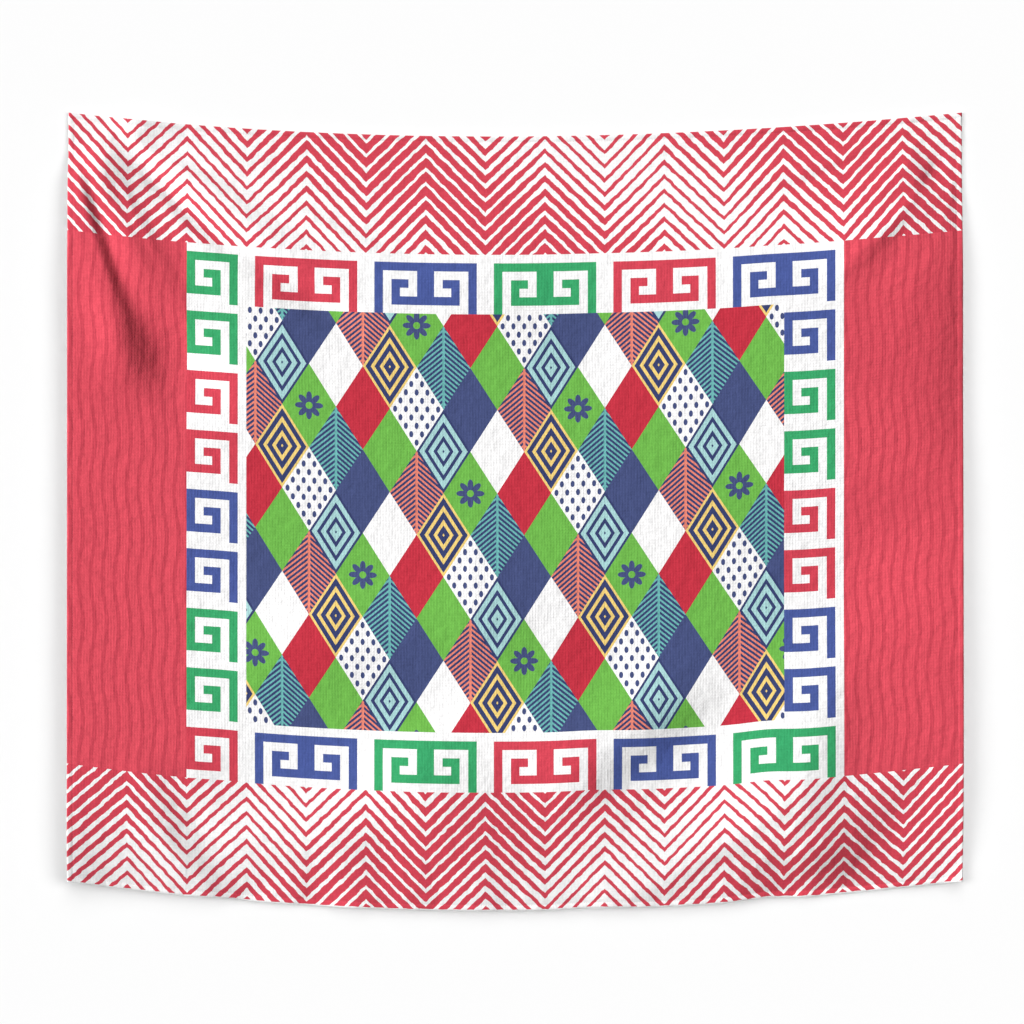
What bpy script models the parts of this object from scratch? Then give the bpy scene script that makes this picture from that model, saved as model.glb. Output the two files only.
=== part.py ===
"""A thin wall tapestry: one hemmed panel of cloth, hung by its two top corners.

For Blender 4.5, in metres, with +Z up. The printed front faces -Y and the wall side +Y.
The origin is at the middle of the top edge, on the back of the hem, where the cloth meets the wall.
"""

import math
from collections import namedtuple

import bpy
import numpy as np

# The panel as it hangs
HUNG_WIDTH = 1.497
SIDE_DROP = 1.287
TOP_SAG = 0.040
BOTTOM_SAG = 0.050
SAG_LEAN = 0.09

# The cloth and its turned hem
FIELD_THICKNESS = 0.0015
HEM_THICKNESS = 0.0024
HEM_DEPTH = 0.011
HEM_STEP = 0.001

# How the cloth stands off the wall below its top edge, and turns back to it at the bottom
BELLY = 0.026
BELLY_RISE = 0.28
BOTTOM_TURN = 0.018
BOTTOM_REACH = 0.20
SOFT_FLOOR = 0.001

# The corners are pressed flat to the wall, where they are held
CORNER_FLAT = 0.045
CORNER_BLEND = 0.075

# Grid of the sheet: where each stretch of cells ends, from the left or the top, and its cell count.
# The plain grid that it is shaped from is GRID_SIZE across.
GRID_SIZE = 2.0
Stretch = namedtuple("Stretch", "end cells")
COLUMNS = (
    Stretch(HEM_DEPTH, 1),
    Stretch(HEM_DEPTH + HEM_STEP, 1),
    Stretch(0.300, 16),
    Stretch(0.520, 9),
    Stretch(1.000, 11),
    Stretch(1.200, 7),
    Stretch(HUNG_WIDTH - HEM_DEPTH - HEM_STEP, 15),
    Stretch(HUNG_WIDTH - HEM_DEPTH, 1),
    Stretch(HUNG_WIDTH, 1),
)
ROWS = (
    Stretch(HEM_DEPTH, 1),
    Stretch(HEM_DEPTH + HEM_STEP, 1),
    Stretch(0.330, 14),
    Stretch(0.620, 8),
    Stretch(0.960, 6),
    Stretch(SIDE_DROP - HEM_DEPTH - HEM_STEP, 13),
    Stretch(SIDE_DROP - HEM_DEPTH, 1),
    Stretch(SIDE_DROP, 1),
)

# Each fold runs from (x0, z0) to (x1, z1) and bows to its left by bow. Its half-width goes from
# width0 to width1, and is more by the share lean on its left and less by it on its right.
# Its height is towards the viewer, so a trough has a negative one. It swells over the share rise
# of its run and dies away over the share fade.
Fold = namedtuple("Fold", "x0 z0 x1 z1 bow width0 width1 lean height rise fade")
LEFT_FAN = (
    Fold(-0.762, 0.000, -0.629, -0.450, 0.017, 0.033, 0.059, 0.18, 0.0169, 0.27, 0.33),
    Fold(-0.727, -0.014, -0.467, -0.497, -0.037, 0.032, 0.058, -0.03, -0.0210, 0.28, 0.32),
    Fold(-0.738, 0.066, -0.471, -0.566, -0.016, 0.027, 0.033, 0.22, 0.0087, 0.15, 0.62),
    Fold(-0.715, 0.043, -0.449, -0.424, 0.001, 0.018, 0.043, 0.38, -0.0040, 0.56, 0.62),
    Fold(-0.707, 0.041, -0.234, -0.349, -0.013, 0.027, 0.029, 0.05, -0.0108, 0.33, 0.24),
    Fold(-0.716, 0.076, -0.271, -0.321, -0.006, 0.024, 0.049, 0.30, 0.0140, 0.20, 0.58),
    Fold(-0.702, 0.018, -0.119, -0.220, 0.008, 0.023, 0.019, 0.12, -0.0109, 0.20, 0.58),
    Fold(-0.664, 0.033, -0.148, -0.231, 0.004, 0.018, 0.036, 0.21, 0.0107, 0.39, 0.48),
    Fold(-0.632, 0.010, -0.228, -0.068, 0.013, 0.018, 0.016, 0.35, -0.0032, 0.25, 0.50),
)
RIGHT_FAN = (
    Fold(0.735, -0.008, 0.707, -0.472, -0.002, 0.018, 0.031, -0.42, 0.0019, 0.24, 0.64),
    Fold(0.745, -0.010, 0.611, -0.409, 0.003, 0.018, 0.040, 0.06, 0.0062, 0.27, 0.52),
    Fold(0.754, 0.036, 0.607, -0.392, 0.012, 0.029, 0.043, 0.26, -0.0112, 0.24, 0.74),
    Fold(0.727, 0.011, 0.496, -0.256, 0.010, 0.024, 0.054, -0.31, 0.0122, 0.33, 0.37),
    Fold(0.758, 0.002, 0.478, -0.259, -0.001, 0.028, 0.037, -0.35, -0.0107, 0.26, 0.67),
    Fold(0.735, 0.012, 0.222, -0.111, 0.009, 0.020, 0.029, -0.24, 0.0016, 0.26, 0.53),
    Fold(0.772, 0.020, 0.768, -0.640, 0.000, 0.048, 0.062, 0.00, -0.0070, 0.30, 0.35),
)
LOWER_LEFT = (
    Fold(-0.640, -1.000, -0.430, -1.310, -0.040, 0.045, 0.056, 0.15, 0.0040, 0.45, 0.20),
    Fold(-0.612, -1.030, -0.420, -1.310, -0.012, 0.030, 0.050, 0.05, -0.0090, 0.45, 0.16),
    Fold(-0.520, -1.000, -0.330, -1.340, -0.012, 0.070, 0.085, 0.30, -0.0070, 0.45, 0.14),
    Fold(-0.540, -1.150, -0.200, -1.185, -0.008, 0.050, 0.050, 0.00, 0.0045, 0.35, 0.35),
    Fold(-0.782, -1.050, -0.764, -1.340, 0.000, 0.055, 0.080, 0.00, 0.0120, 0.60, 0.04),
)
LOWER_RIGHT = (
    Fold(0.557, -1.034, 0.124, -1.300, 0.020, 0.027, 0.039, -0.37, 0.0030, 0.44, 0.07),
    Fold(0.636, -1.268, 0.359, -1.268, -0.010, 0.038, 0.038, -0.23, -0.0095, 0.47, 0.41),
    Fold(0.453, -0.884, -0.016, -1.243, -0.004, 0.032, 0.051, 0.45, -0.0009, 0.33, 0.34),
    Fold(0.385, -0.856, 0.005, -1.123, -0.002, 0.055, 0.092, -0.12, 0.0160, 0.50, 0.29),
    Fold(0.738, -1.021, 0.548, -1.331, -0.013, 0.045, 0.066, 0.15, -0.0085, 0.55, 0.17),
    Fold(0.828, -1.094, 0.615, -1.344, 0.014, 0.046, 0.060, -0.35, -0.0105, 0.49, 0.10),
    Fold(0.785, -1.030, 0.765, -1.340, 0.000, 0.050, 0.062, 0.00, 0.0055, 0.60, 0.04),
)
BROAD = (
    Fold(-0.542, -0.834, 0.052, -0.817, -0.015, 0.064, 0.109, -0.03, 0.0116, 0.43, 0.25),
    Fold(0.092, -0.717, -0.280, -1.185, 0.034, 0.088, 0.140, 0.30, 0.0140, 0.32, 0.30),
    Fold(0.096, -0.756, -0.181, -1.061, -0.003, 0.056, 0.083, 0.10, -0.0064, 0.40, 0.32),
    Fold(-0.098, -0.179, 0.424, -0.392, -0.071, 0.102, 0.141, 0.45, -0.0065, 0.55, 0.62),
    Fold(0.305, -0.563, 0.717, -0.809, 0.013, 0.092, 0.133, -0.45, -0.0069, 0.69, 0.41),
    Fold(0.609, -0.757, 0.474, -1.259, -0.052, 0.076, 0.117, -0.27, 0.0128, 0.70, 0.15),
    Fold(-0.810, -0.450, -0.790, -1.420, 0.000, 0.170, 0.240, 0.00, 0.0050, 0.60, 0.12),
    Fold(0.820, -0.450, 0.800, -1.420, 0.000, 0.200, 0.280, 0.00, 0.0080, 0.60, 0.12),
)
FOLDS = LEFT_FAN + RIGHT_FAN + LOWER_LEFT + LOWER_RIGHT + BROAD

# Small upright ripples that stand in the bottom edge
Ripple = namedtuple("Ripple", "x width height reach")
RIPPLES = (
    Ripple(-0.333, 0.026, -0.0020, 0.15),
    Ripple(-0.276, 0.020, 0.0011, 0.09),
    Ripple(-0.219, 0.030, -0.0015, 0.19),
    Ripple(-0.131, 0.022, -0.0016, 0.11),
    Ripple(-0.058, 0.034, 0.0014, 0.16),
    Ripple(-0.009, 0.018, -0.0012, 0.08),
)

# Where the folds draw the bottom edge up
Lift = namedtuple("Lift", "x width rise")
LIFTS = (
    Lift(-0.490, 0.040, 0.0015),
    Lift(0.130, 0.060, 0.0030),
    Lift(0.420, 0.045, 0.0045),
)

PRINT_RED = (0.60, 0.06, 0.09, 1.0)
CLOTH_ROUGHNESS = 0.85


def clear_scene():
    """Remove what the scene holds, so that only the tapestry is left."""
    for thing in list(bpy.data.objects):
        bpy.data.objects.remove(thing, do_unlink=True)


def ease(share):
    """Smooth step from 0 to 1 while share goes from 0 to 1."""
    share = np.clip(share, 0.0, 1.0)
    return share * share * (3.0 - 2.0 * share)


def stations(stretches):
    """Grid line positions along one side, from its table of stretches."""
    lines = [0.0]
    for stretch in stretches:
        start = lines[-1]
        step = (stretch.end - start) / stretch.cells
        lines += [start + step * (count + 1) for count in range(stretch.cells)]
    return np.array(lines)


def sag(x):
    """Share of the full sag at x: 0 at the two sides and about 1 in the middle."""
    side = x / (HUNG_WIDTH / 2)
    return (1.0 - side * side) * (1.0 - SAG_LEAN * side)


def top_edge(x):
    """Height of the top edge at x."""
    return TOP_SAG * (1.0 - sag(x))


def bottom_edge(x):
    """Height of the bottom edge at x, with the places where folds draw it up."""
    height = TOP_SAG - SIDE_DROP - BOTTOM_SAG * sag(x)
    for lift in LIFTS:
        height = height + lift.rise * np.exp(-(((x - lift.x) / lift.width) ** 2))
    return height


def fold_height(fold, x, z):
    """How far one fold stands towards the viewer at each point."""
    run_x = fold.x1 - fold.x0
    run_z = fold.z1 - fold.z0
    length = math.hypot(run_x, run_z)
    along = ((x - fold.x0) * run_x + (z - fold.z0) * run_z) / length**2
    across = ((z - fold.z0) * run_x - (x - fold.x0) * run_z) / length
    share = np.clip(along, 0.0, 1.0)
    across = across - 4.0 * fold.bow * share * (1.0 - share)
    width = fold.width0 + (fold.width1 - fold.width0) * share
    width = width * (1.0 + fold.lean * np.sign(across))
    swell = ease(along / fold.rise) * ease((1.0 - along) / fold.fade)
    return fold.height * swell * np.exp(-((across / width) ** 2))


def ripple_height(ripple, x, z):
    """How far one ripple stands towards the viewer, most at the bottom edge."""
    above = z - bottom_edge(x)
    swell = ease(1.0 - above / ripple.reach)
    return ripple.height * swell * np.exp(-(((x - ripple.x) / ripple.width) ** 2))


def corner_hold(x, z):
    """0 where a top corner is pressed to the wall, 1 away from both."""
    hold = 1.0
    for side in (-1, 1):
        away = np.hypot(x - side * HUNG_WIDTH / 2, z - TOP_SAG)
        hold = hold * ease((away - CORNER_FLAT) / CORNER_BLEND)
    return hold


def relief(x, z):
    """How far the cloth stands off the wall at each point, never less than nothing."""
    height = BELLY * ease((top_edge(x) - z) / BELLY_RISE)
    turning = np.clip(1.0 - (z - bottom_edge(x)) / BOTTOM_REACH, 0.0, 1.0)
    height = height - BOTTOM_TURN * turning**2
    for fold in FOLDS:
        height = height + fold_height(fold, x, z)
    for ripple in RIPPLES:
        height = height + ripple_height(ripple, x, z)
    height = 0.5 * (height + np.sqrt(height**2 + SOFT_FLOOR**2))
    return height * corner_hold(x, z)


def sheet_mesh():
    """The front of the cloth as one open grid, with its hem in a vertex group."""
    across = stations(COLUMNS)
    down = stations(ROWS)
    bpy.ops.mesh.primitive_grid_add(
        x_subdivisions=len(across) - 1, y_subdivisions=len(down) - 1, size=GRID_SIZE
    )
    cloth = bpy.context.object
    spots = np.empty(len(cloth.data.vertices) * 3)
    cloth.data.vertices.foreach_get("co", spots)
    spots = spots.reshape(-1, 3)
    column = np.rint((0.5 + spots[:, 0] / GRID_SIZE) * (len(across) - 1)).astype(int)
    row = np.rint((0.5 - spots[:, 1] / GRID_SIZE) * (len(down) - 1)).astype(int)
    from_left = across[column]
    from_top = down[row]
    x = from_left - HUNG_WIDTH / 2
    z = top_edge(x) + (bottom_edge(x) - top_edge(x)) * from_top / SIDE_DROP
    y = -HEM_THICKNESS - relief(x, z)
    cloth.data.vertices.foreach_set("co", np.stack([x, y, z], axis=1).ravel())
    mark_hem(cloth, from_left, from_top)
    return cloth


def mark_hem(cloth, from_left, from_top):
    """Put the points of the turned hem in a vertex group, which Solidify makes thicker."""
    from_edge = np.minimum(
        np.minimum(from_left, HUNG_WIDTH - from_left), np.minimum(from_top, SIDE_DROP - from_top)
    )
    hem = cloth.vertex_groups.new(name="hem")
    inside = np.flatnonzero(from_edge < HEM_DEPTH + HEM_STEP / 2)
    hem.add([int(point) for point in inside], 1.0, "REPLACE")


def split_cells(cloth):
    """Split each cell along the way the folds run there, which the sag makes its longer diagonal."""
    split = cloth.modifiers.new("Cells along the folds", "TRIANGULATE")
    split.quad_method = "LONGEST_DIAGONAL"


def thicken(cloth):
    """Give the sheet its thickness towards the wall, with the hem thicker than the field."""
    solid = cloth.modifiers.new("Cloth thickness", "SOLIDIFY")
    solid.thickness = HEM_THICKNESS
    solid.offset = -1.0
    solid.vertex_group = "hem"
    solid.thickness_vertex_group = FIELD_THICKNESS / HEM_THICKNESS


def cloth_material():
    """Printed polyester cloth, with the print's leading colour."""
    material = bpy.data.materials.new("printed polyester cloth")
    material.use_nodes = True
    shader = material.node_tree.nodes["Principled BSDF"]
    shader.inputs["Base Color"].default_value = PRINT_RED
    shader.inputs["Roughness"].default_value = CLOTH_ROUGHNESS
    shader.inputs["Metallic"].default_value = 0.0
    return material


def main():
    clear_scene()
    tapestry = bpy.data.collections.new("wall tapestry")
    bpy.context.scene.collection.children.link(tapestry)
    cloth = sheet_mesh()
    cloth.name = "cloth"
    cloth.data.name = "cloth"
    for owner in list(cloth.users_collection):
        owner.objects.unlink(cloth)
    tapestry.objects.link(cloth)
    split_cells(cloth)
    thicken(cloth)
    cloth.data.materials.append(cloth_material())
    cloth.data.shade_smooth()


main()
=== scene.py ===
"""A thin printed wall tapestry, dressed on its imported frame, for Blender 4.5.

Metres, with +Z up. The printed front faces -Y and the wall side +Y. The origin is at the middle of
the top edge, on the back of the hem, where the cloth meets the wall.
"""

import math
from collections import namedtuple
from functools import partial

import bpy
import numpy as np
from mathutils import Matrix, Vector


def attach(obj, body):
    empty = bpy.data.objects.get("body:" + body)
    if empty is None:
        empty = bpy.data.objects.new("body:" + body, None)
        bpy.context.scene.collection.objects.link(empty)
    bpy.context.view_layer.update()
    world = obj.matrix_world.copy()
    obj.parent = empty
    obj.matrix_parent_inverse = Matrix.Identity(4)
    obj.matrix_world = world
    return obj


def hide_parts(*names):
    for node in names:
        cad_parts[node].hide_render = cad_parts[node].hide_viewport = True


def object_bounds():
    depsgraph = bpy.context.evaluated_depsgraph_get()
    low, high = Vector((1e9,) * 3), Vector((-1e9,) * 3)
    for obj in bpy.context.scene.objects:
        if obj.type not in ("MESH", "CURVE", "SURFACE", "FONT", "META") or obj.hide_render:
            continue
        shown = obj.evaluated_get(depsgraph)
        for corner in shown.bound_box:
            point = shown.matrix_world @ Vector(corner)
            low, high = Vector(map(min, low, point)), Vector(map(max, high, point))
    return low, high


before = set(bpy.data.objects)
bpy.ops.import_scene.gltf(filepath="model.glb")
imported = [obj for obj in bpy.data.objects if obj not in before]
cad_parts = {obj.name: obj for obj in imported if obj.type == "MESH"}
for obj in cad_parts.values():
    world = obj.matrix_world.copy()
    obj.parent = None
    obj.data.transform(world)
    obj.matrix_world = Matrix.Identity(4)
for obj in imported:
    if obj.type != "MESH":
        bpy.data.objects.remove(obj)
CAD_LOW, CAD_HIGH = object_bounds()

bl_info = {
    "name": "Wall tapestry",
    "version": (1, 0, 0),
    "blender": (4, 5, 0),
    "location": "3D View > Sidebar > Tapestry",
    "description": "A thin printed wall tapestry that hangs by its two top corners",
    "category": "Add Mesh",
}

# The hang of the cloth, as in the part's source
SAG_LEAN = 0.09
BELLY = 0.026
BELLY_RISE = 0.28
BOTTOM_TURN = 0.018
BOTTOM_REACH = 0.20
SOFT_FLOOR = 0.001
CORNER_FLAT = 0.045
CORNER_BLEND = 0.075

# Each fold runs from (x0, z0) to (x1, z1) and bows to its left by bow. Its half-width goes from
# width0 to width1, and is more by the share lean on its left and less by it on its right.
# Its height is towards the viewer, so a trough has a negative one. It swells over the share rise
# of its run and dies away over the share fade.
Fold = namedtuple("Fold", "x0 z0 x1 z1 bow width0 width1 lean height rise fade")
LEFT_FAN = (
    (-0.762, 0.000, -0.629, -0.450, 0.017, 0.033, 0.059, 0.18, 0.0169, 0.27, 0.33),
    (-0.727, -0.014, -0.467, -0.497, -0.037, 0.032, 0.058, -0.03, -0.0210, 0.28, 0.32),
    (-0.738, 0.066, -0.471, -0.566, -0.016, 0.027, 0.033, 0.22, 0.0087, 0.15, 0.62),
    (-0.715, 0.043, -0.449, -0.424, 0.001, 0.018, 0.043, 0.38, -0.0040, 0.56, 0.62),
    (-0.707, 0.041, -0.234, -0.349, -0.013, 0.027, 0.029, 0.05, -0.0108, 0.33, 0.24),
    (-0.716, 0.076, -0.271, -0.321, -0.006, 0.024, 0.049, 0.30, 0.0140, 0.20, 0.58),
    (-0.702, 0.018, -0.119, -0.220, 0.008, 0.023, 0.019, 0.12, -0.0109, 0.20, 0.58),
    (-0.664, 0.033, -0.148, -0.231, 0.004, 0.018, 0.036, 0.21, 0.0107, 0.39, 0.48),
    (-0.632, 0.010, -0.228, -0.068, 0.013, 0.018, 0.016, 0.35, -0.0032, 0.25, 0.50),
)
RIGHT_FAN = (
    (0.735, -0.008, 0.707, -0.472, -0.002, 0.018, 0.031, -0.42, 0.0019, 0.24, 0.64),
    (0.745, -0.010, 0.611, -0.409, 0.003, 0.018, 0.040, 0.06, 0.0062, 0.27, 0.52),
    (0.754, 0.036, 0.607, -0.392, 0.012, 0.029, 0.043, 0.26, -0.0112, 0.24, 0.74),
    (0.727, 0.011, 0.496, -0.256, 0.010, 0.024, 0.054, -0.31, 0.0122, 0.33, 0.37),
    (0.758, 0.002, 0.478, -0.259, -0.001, 0.028, 0.037, -0.35, -0.0107, 0.26, 0.67),
    (0.735, 0.012, 0.222, -0.111, 0.009, 0.020, 0.029, -0.24, 0.0016, 0.26, 0.53),
    (0.772, 0.020, 0.768, -0.640, 0.000, 0.048, 0.062, 0.00, -0.0070, 0.30, 0.35),
)
LOWER_LEFT = (
    (-0.640, -1.000, -0.430, -1.310, -0.040, 0.045, 0.056, 0.15, 0.0040, 0.45, 0.20),
    (-0.612, -1.030, -0.420, -1.310, -0.012, 0.030, 0.050, 0.05, -0.0090, 0.45, 0.16),
    (-0.520, -1.000, -0.330, -1.340, -0.012, 0.070, 0.085, 0.30, -0.0070, 0.45, 0.14),
    (-0.540, -1.150, -0.200, -1.185, -0.008, 0.050, 0.050, 0.00, 0.0045, 0.35, 0.35),
    (-0.782, -1.050, -0.764, -1.340, 0.000, 0.055, 0.080, 0.00, 0.0120, 0.60, 0.04),
)
LOWER_RIGHT = (
    (0.557, -1.034, 0.124, -1.300, 0.020, 0.027, 0.039, -0.37, 0.0030, 0.44, 0.07),
    (0.636, -1.268, 0.359, -1.268, -0.010, 0.038, 0.038, -0.23, -0.0095, 0.47, 0.41),
    (0.453, -0.884, -0.016, -1.243, -0.004, 0.032, 0.051, 0.45, -0.0009, 0.33, 0.34),
    (0.385, -0.856, 0.005, -1.123, -0.002, 0.055, 0.092, -0.12, 0.0160, 0.50, 0.29),
    (0.738, -1.021, 0.548, -1.331, -0.013, 0.045, 0.066, 0.15, -0.0085, 0.55, 0.17),
    (0.828, -1.094, 0.615, -1.344, 0.014, 0.046, 0.060, -0.35, -0.0105, 0.49, 0.10),
    (0.785, -1.030, 0.765, -1.340, 0.000, 0.050, 0.062, 0.00, 0.0055, 0.60, 0.04),
)
BROAD = (
    (-0.542, -0.834, 0.052, -0.817, -0.015, 0.064, 0.109, -0.03, 0.0116, 0.43, 0.25),
    (0.092, -0.717, -0.280, -1.185, 0.034, 0.088, 0.140, 0.30, 0.0140, 0.32, 0.30),
    (0.096, -0.756, -0.181, -1.061, -0.003, 0.056, 0.083, 0.10, -0.0064, 0.40, 0.32),
    (-0.098, -0.179, 0.424, -0.392, -0.071, 0.102, 0.141, 0.45, -0.0065, 0.55, 0.62),
    (0.305, -0.563, 0.717, -0.809, 0.013, 0.092, 0.133, -0.45, -0.0069, 0.69, 0.41),
    (0.609, -0.757, 0.474, -1.259, -0.052, 0.076, 0.117, -0.27, 0.0128, 0.70, 0.15),
    (-0.810, -0.450, -0.790, -1.420, 0.000, 0.170, 0.240, 0.00, 0.0050, 0.60, 0.12),
    (0.820, -0.450, 0.800, -1.420, 0.000, 0.200, 0.280, 0.00, 0.0080, 0.60, 0.12),
)
# Creases too fine for the solid, between its folds
CREASES = (
    (-0.744, -0.010, -0.632, -0.355, -0.008, 0.007, 0.011, 0.00, 0.0022, 0.30, 0.40),
    (-0.728, -0.018, -0.614, -0.360, -0.008, 0.007, 0.011, 0.00, -0.0020, 0.30, 0.40),
    (-0.698, -0.012, -0.560, -0.285, -0.010, 0.007, 0.012, 0.00, -0.0017, 0.30, 0.45),
    (-0.655, -0.016, -0.440, -0.231, -0.004, 0.009, 0.015, 0.00, -0.0034, 0.25, 0.45),
    (-0.690, 0.014, -0.395, -0.150, -0.006, 0.007, 0.011, 0.00, -0.0012, 0.30, 0.50),
    (-0.660, 0.016, -0.330, -0.045, 0.004, 0.006, 0.009, 0.00, 0.0010, 0.30, 0.50),
    (0.738, 0.012, 0.556, -0.240, 0.006, 0.006, 0.011, 0.00, 0.0013, 0.30, 0.50),
    (0.730, 0.022, 0.380, -0.125, -0.005, 0.006, 0.010, 0.00, -0.0012, 0.30, 0.50),
    (-0.700, -1.030, -0.520, -1.220, 0.004, 0.010, 0.014, 0.00, -0.0012, 0.40, 0.40),
    (0.320, -1.010, 0.080, -1.220, -0.004, 0.014, 0.020, 0.00, 0.0012, 0.45, 0.45),
    (0.580, -1.080, 0.390, -1.260, -0.003, 0.012, 0.018, 0.00, -0.0014, 0.45, 0.40),
)
FOLD_TABLES = (LEFT_FAN, RIGHT_FAN, LOWER_LEFT, LOWER_RIGHT, BROAD, CREASES)
FOLDS = [Fold(*row) for table in FOLD_TABLES for row in table]

# Small upright ripples that stand in the bottom edge
Ripple = namedtuple("Ripple", "x width height reach")
RIPPLES = (
    Ripple(-0.333, 0.026, -0.0020, 0.15),
    Ripple(-0.276, 0.020, 0.0011, 0.09),
    Ripple(-0.219, 0.030, -0.0015, 0.19),
    Ripple(-0.131, 0.022, -0.0016, 0.11),
    Ripple(-0.058, 0.034, 0.0014, 0.16),
    Ripple(-0.009, 0.018, -0.0012, 0.08),
)

# Where the folds draw the bottom edge up
Lift = namedtuple("Lift", "x width rise")
LIFTS = (
    Lift(-0.490, 0.040, 0.0015),
    Lift(0.130, 0.060, 0.0030),
    Lift(0.420, 0.045, 0.0045),
)

# Small uneven puckers that the stitching draws into the hem, as waves along each edge
Pucker = namedtuple("Pucker", "length height start")
PUCKERS = (
    Pucker(0.067, 0.00022, 0.4),
    Pucker(0.041, 0.00016, 1.9),
    Pucker(0.023, 0.00010, 3.1),
)
PUCKER_REACH = 0.030

# The turned hem: how far its seam is from the fold, and the grid lines beside it from the seam
SEAM = 0.0095
SEAM_SIDE = 0.0012

# How far the stitches draw both layers in along the top and bottom and along the sides, how far
# they pinch the layers together, how wide that reaches, and the fullness outside the seam
DRAWN_END = 0.0007
DRAWN_SIDE = 0.0001
PINCH_DEPTH = 0.00009
DRAWN_WIDTH = 0.0018
FULLNESS = 0.00030

# Lines on the turned strip, cells round the fold and before the seam, and the length over which
# the side hems rise from the plain cloth onto the top and bottom hems
TURNED_LINES = (0.0040, SEAM - SEAM_SIDE, SEAM, SEAM + SEAM_SIDE)
BEND_CELLS = 4
HEM_CELLS = 3
CORNER_RELEASE = 0.014

# Grid of the sheet: where each stretch of cells ends, from the left or the top, and its cell count.
# A negative end is counted from the far edge.
HEM_START = ((SEAM - SEAM_SIDE, HEM_CELLS), (SEAM, 1), (SEAM + SEAM_SIDE, 1))
HEM_END = ((-SEAM, 1), (SEAM_SIDE - SEAM, 1))
COLUMNS = ((0.300, 52), (0.520, 30), (1.000, 50), (1.200, 26), (-SEAM - SEAM_SIDE, 52))
ROWS = ((0.330, 60), (0.620, 37), (0.960, 32), (-SEAM - SEAM_SIDE, 48))

# Side of the plain grid that is shaped into the sheet
GRID_SIZE = 2.0

# The bake map: how much cloth is left round the front for the turned hems, the gap above and below
# the back, and how much wider the inner side of the cut edges is laid, so that they have an area
MAP_MARGIN = 0.014
MAP_GAP = 0.01
CUT_SPREAD = 1.002

# Height of a thread, and width of its ends, as shares of its width
THREAD_HEIGHT = 0.5
THREAD_TAPER = 0.6

# Each lamp's direction, and how wide it looks, in radians
Lamp = namedtuple("Lamp", "name direction softness")
KEY_LAMP = Lamp("key lamp", (1.65, 1.0, -0.55), 0.5)
WALL_LAMPS = (
    Lamp("left wall lamp", (0.9, 1.0, -0.1), 0.6),
    Lamp("right wall lamp", (-0.9, 1.0, -0.1), 0.6),
    Lamp("upper wall lamp", (0.0, 1.0, -1.0), 0.8),
)
BACK_LAMP = Lamp("back lamp", (-0.35, -1.0, -0.45), 0.8)

# Size of the wall and of the floor, and the height of the wall's middle
STAGE_SIZE = 9.0
WALL_MIDDLE = 2.6


def linear(code):
    """The linear colour of an sRGB hex value."""
    shares = [int(code[start : start + 2], 16) / 255 for start in (1, 3, 5)]
    return tuple(s / 12.92 if s <= 0.04045 else ((s + 0.055) / 1.055) ** 2.4 for s in shares) + (1.0,)


def length(name, description, default, **more):
    """A property for a length in metres."""
    return bpy.props.FloatProperty(
        name=name, description=description, default=default, precision=4, unit="LENGTH", **more
    )


def strength(name, description, default):
    """A property for the strength of a light."""
    return bpy.props.FloatProperty(name=name, description=description, default=default, min=0.0)


def colour(name, description, code):
    """A property for a colour, from its sRGB hex value."""
    return bpy.props.FloatVectorProperty(
        name=name, description=description, default=linear(code), size=4, subtype="COLOR"
    )


class TapestryPanelSizes(bpy.types.PropertyGroup):
    """Sizes of the cloth as it was cut and as it hangs."""

    hung_width: length("Hung width", "Width between the two sides as hung", 1.497)
    side_drop: length("Side drop", "Height of the two sides as hung", 1.287)
    top_sag: length("Top sag", "How far the top edge sags in the middle", round(CAD_HIGH.z, 3))
    bottom_sag: length("Bottom sag", "How far the bottom edge hangs below its corners", 0.050)
    flat_width: length("Flat width", "Finished width of the cloth when flat", 1.50)
    flat_height: length("Flat height", "Finished height of the cloth when flat", 1.30)
    hem: length("Hem", "Depth of the turned hem", 0.011)
    thickness: length("Thickness", "Thickness of the cloth", 0.00025)
    bend: length("Hem bend", "Radius in which the hem turns back", 0.00035)
    front: length("Front depth", "How far the front stands off the wall at the corners", 0.0024)


class TapestryPrintLook(bpy.types.PropertyGroup):
    """Colours and sizes of the print. The colours are the dyed cloth's own, before light falls on it."""

    white: colour("White", "Unprinted cloth", "#E9E8E8")
    light_red: colour("Light red", "Ground of the red panels", "#D04554")
    mid_red: colour("Mid red", "Fine lines of the red panels", "#BE3A4A")
    deep_red: colour("Deep red", "Stripes and keys", "#C4394A")
    crimson: colour("Crimson", "Red diamonds", "#B72538")
    navy: colour("Navy", "Dark diamonds", "#3B4673")
    deep_navy: colour("Deep navy", "Ground under the herringbone", "#2B3563")
    leaf_green: colour("Leaf green", "Green diamonds", "#66AB43")
    pale_teal: colour("Pale teal", "Light diamonds", "#9DC6C6")
    mid_teal: colour("Mid teal", "Herringbone lines", "#62A7A5")
    coral: colour("Coral", "Herringbone lines", "#D97B69")
    yellow: colour("Yellow", "Herringbone lines", "#E2C371")
    blue: colour("Blue", "Keys of the fret", "#3F5090")
    emerald: colour("Emerald", "Keys of the fret", "#2E9A60")
    strip: length("Outer strip", "Height and width of the outer strips", 0.20)
    fret: length("Fret", "Width of the fret frame and of one key", 0.10)
    diamond_width: length("Diamond width", "Width of one diamond", 0.09)
    diamond_height: length("Diamond height", "Height of one diamond", 0.14)
    zigzag: length("Zigzag", "Half the wavelength of the chevrons", 0.10)
    stripe: length("Stripe", "Distance between chevron stripes, measured upright", 0.024)
    pinstripe: length("Pinstripe", "Distance between the fine lines", 0.020)
    rim: length("White rim", "Unprinted rim at the bottom edge", 0.0022)
    show_through: bpy.props.FloatProperty(
        name="Show-through",
        description="Share of the print that shows on the back",
        default=0.16,
        subtype="FACTOR",
        min=0.0,
        max=1.0,
    )


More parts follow.
